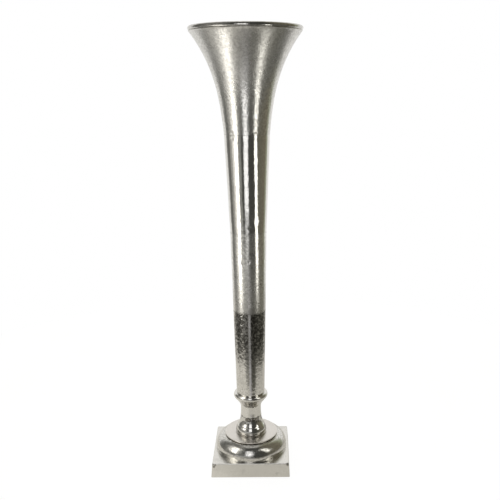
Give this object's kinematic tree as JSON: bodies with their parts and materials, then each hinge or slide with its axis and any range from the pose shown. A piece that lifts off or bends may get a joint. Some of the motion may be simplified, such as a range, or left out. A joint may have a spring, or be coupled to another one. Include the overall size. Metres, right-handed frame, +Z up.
{
  "type": "trumpet vase",
  "caption": "Tall free-standing trumpet vase: square plinth, rolled foot moulding, bell knop, beaded neck and a tapered tube that flares to a rolled lip.",
  "frame": {"origin": "on the ground, under the middle of the square plinth", "axes": "+Z up along the tube to the mouth, +Y away from the pictured front, +X to its right"},
  "size_m": [0.242, 0.242, 1],
  "materials": {
    "cast_nickel": "mottled cast, nickel finish",
    "polished_nickel": "polished nickel",
    "plinth_nickel": "satin nickel",
    "zinc_steel": "zinc plated",
    "felt": "felt",
    "seal_rubber": "matte"
  },
  "bodies": {
    "root": {"felt_pads": "felt", "plinth": "plinth_nickel", "foot_moulding": "polished_nickel", "foot_disc": "polished_nickel", "bell_knop": "polished_nickel", "neck_collar": "polished_nickel", "foot_tube": "cast_nickel", "lower_tube": "cast_nickel", "upper_tube": "cast_nickel", "trumpet_mouth": "cast_nickel", "tube_floor": "cast_nickel", "floor_seal": "seal_rubber", "tie_rod": "zinc_steel", "flat_washer": "zinc_steel", "lock_washer": "zinc_steel", "hex_nut": "zinc_steel"}
  },
  "joints": []
}
